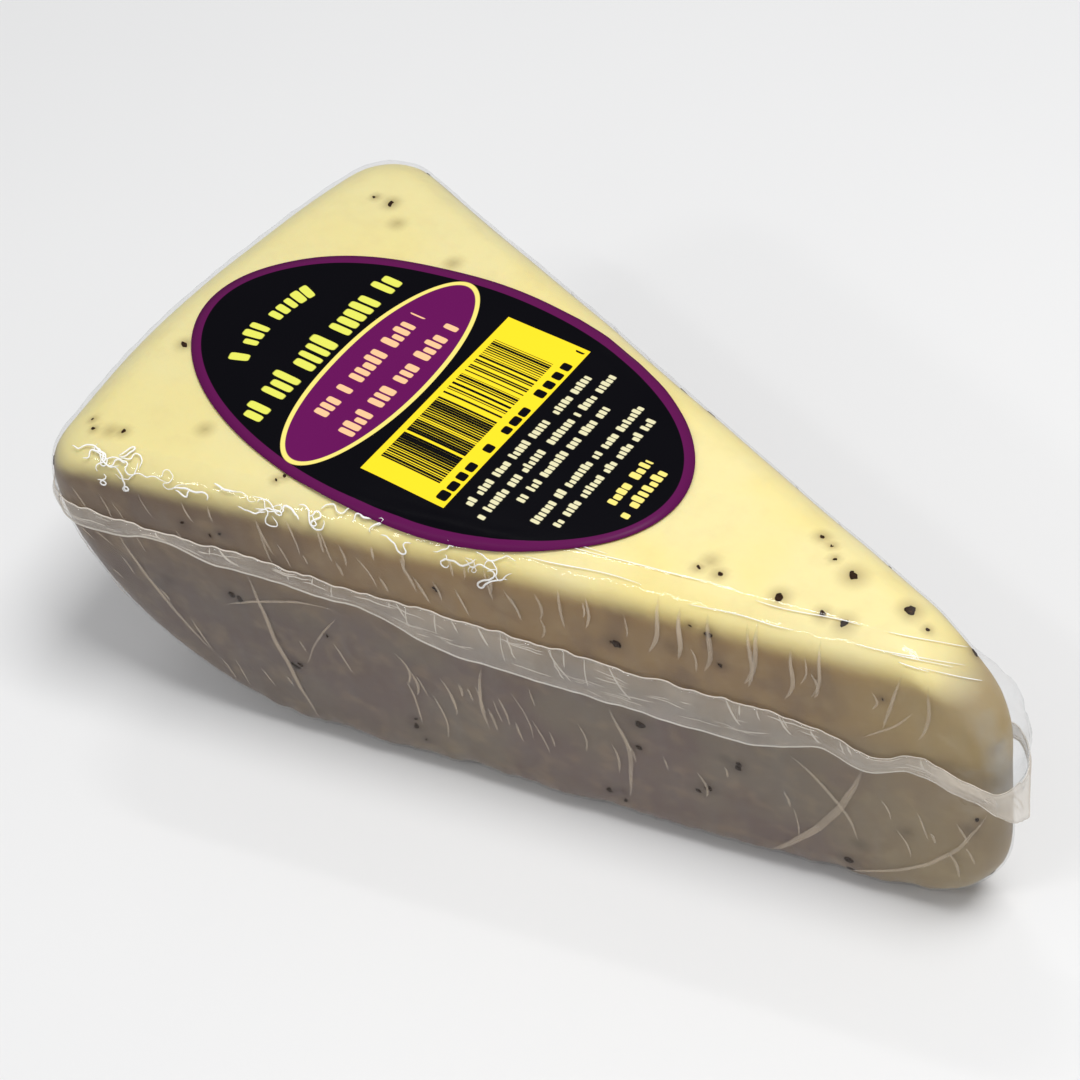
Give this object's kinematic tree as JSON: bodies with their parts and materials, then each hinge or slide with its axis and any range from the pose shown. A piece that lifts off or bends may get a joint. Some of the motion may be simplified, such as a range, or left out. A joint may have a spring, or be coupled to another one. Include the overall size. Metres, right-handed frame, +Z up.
{
  "type": "cheese wedge",
  "caption": "Wedge of peppercorn cheese shrink-wrapped in clear film, with a film seam round its side and an oval paper label on its top.",
  "frame": {"origin": "on the flat base's plane, under the middle of the whole pack's box", "axes": "+X from the rind towards the tip, +Z up, -Y towards the cut side that the seam's flap shows best on"},
  "size_m": [0.13, 0.0716, 0.0476],
  "materials": {
    "cheese": "pale yellow pepper cheese, soft and slightly waxy",
    "pepper": "crushed black peppercorn in the cheese",
    "film": "clear glossy shrink film",
    "label_paper": "coated paper sticker, satin, printed in plain fields of colour"
  },
  "bodies": {
    "root": {"wrapped_wedge": "cheese", "seam_flap": "film", "label": "label_paper"}
  },
  "joints": []
}
